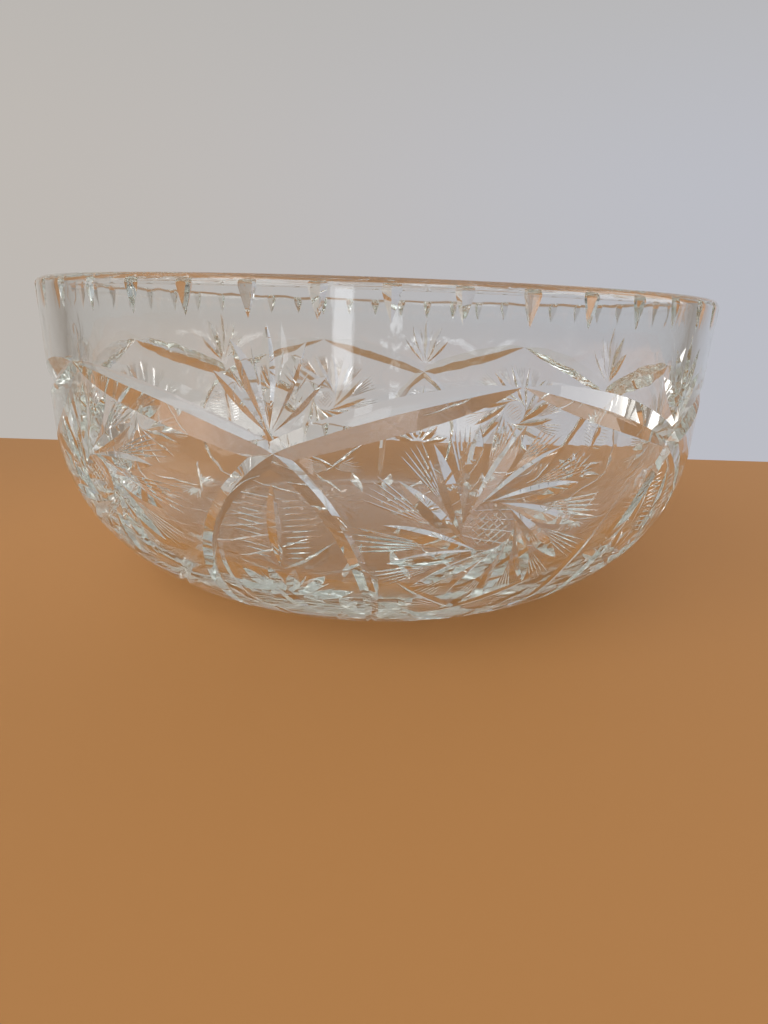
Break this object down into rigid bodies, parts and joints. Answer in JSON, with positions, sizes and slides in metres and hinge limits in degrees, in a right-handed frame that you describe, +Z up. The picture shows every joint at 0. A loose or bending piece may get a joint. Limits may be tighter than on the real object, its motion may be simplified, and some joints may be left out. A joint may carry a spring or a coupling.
{
  "type": "cut crystal serving bowl",
  "caption": "Round clear glass serving bowl with a notched rim and a mitre-cut wall of arches, pinwheels, fans and half stars, on a flat star-cut base.",
  "frame": {"origin": "centre of the flat base, on the surface that the bowl stands on", "axes": "+Z up along the bowl's axis, -Y towards the point of one arch"},
  "size_m": [0.225, 0.225, 0.097],
  "materials": {
    "crystal": "polished clear crystal, cut facets fire-bright"
  },
  "bodies": {
    "root": {"bowl": "crystal"}
  },
  "joints": []
}
